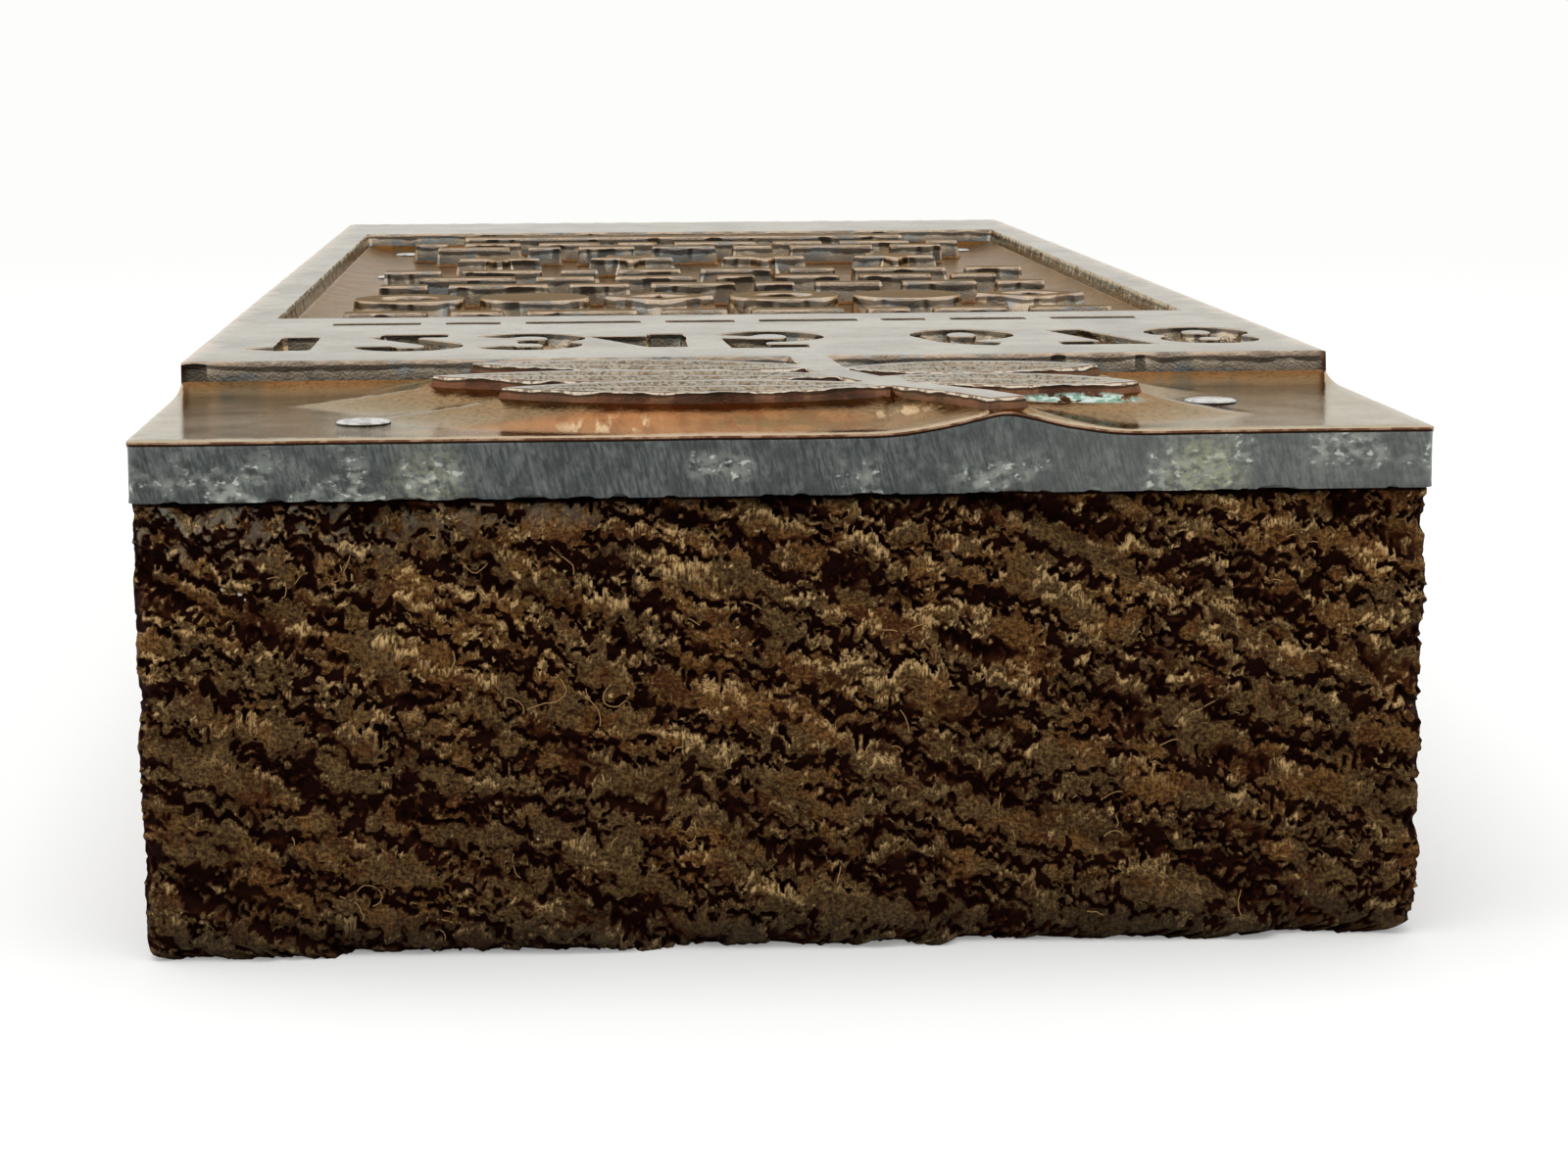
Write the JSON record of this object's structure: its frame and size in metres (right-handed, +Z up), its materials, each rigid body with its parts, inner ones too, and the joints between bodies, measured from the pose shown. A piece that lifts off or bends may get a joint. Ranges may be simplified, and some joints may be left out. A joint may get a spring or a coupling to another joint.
{
  "type": "letterpress printing block",
  "caption": "Type-high wooden block carrying a nailed electrotype plate whose raised printing face has a sunk title band, a framed panel and a leaf ornament.",
  "frame": {"origin": "centre of the block's underside, which stands on Z = 0", "axes": "+Z up towards the printing face, +Y along the block's length from the low apron to the far band, +X across its width"},
  "size_m": [0.054, 0.14, 0.0233],
  "materials": {
    "hardwood": "rough sawn end grain, aged and dusty",
    "type_metal": "cast lead alloy with sawn edges, dull and oxidised",
    "copper": "electroformed copper, tarnished brown in the hollows and polished pale on the face",
    "steel": "drawn wire nail, dull grey"
  },
  "bodies": {
    "root": {"wood_base": "hardwood", "backing_plate": "type_metal", "copper_shell": "copper", "nail_near_left": "steel", "nail_near_right": "steel", "nail_middle_left": "steel", "nail_middle_right": "steel", "nail_far_left": "steel", "nail_far_right": "steel"}
  },
  "joints": []
}
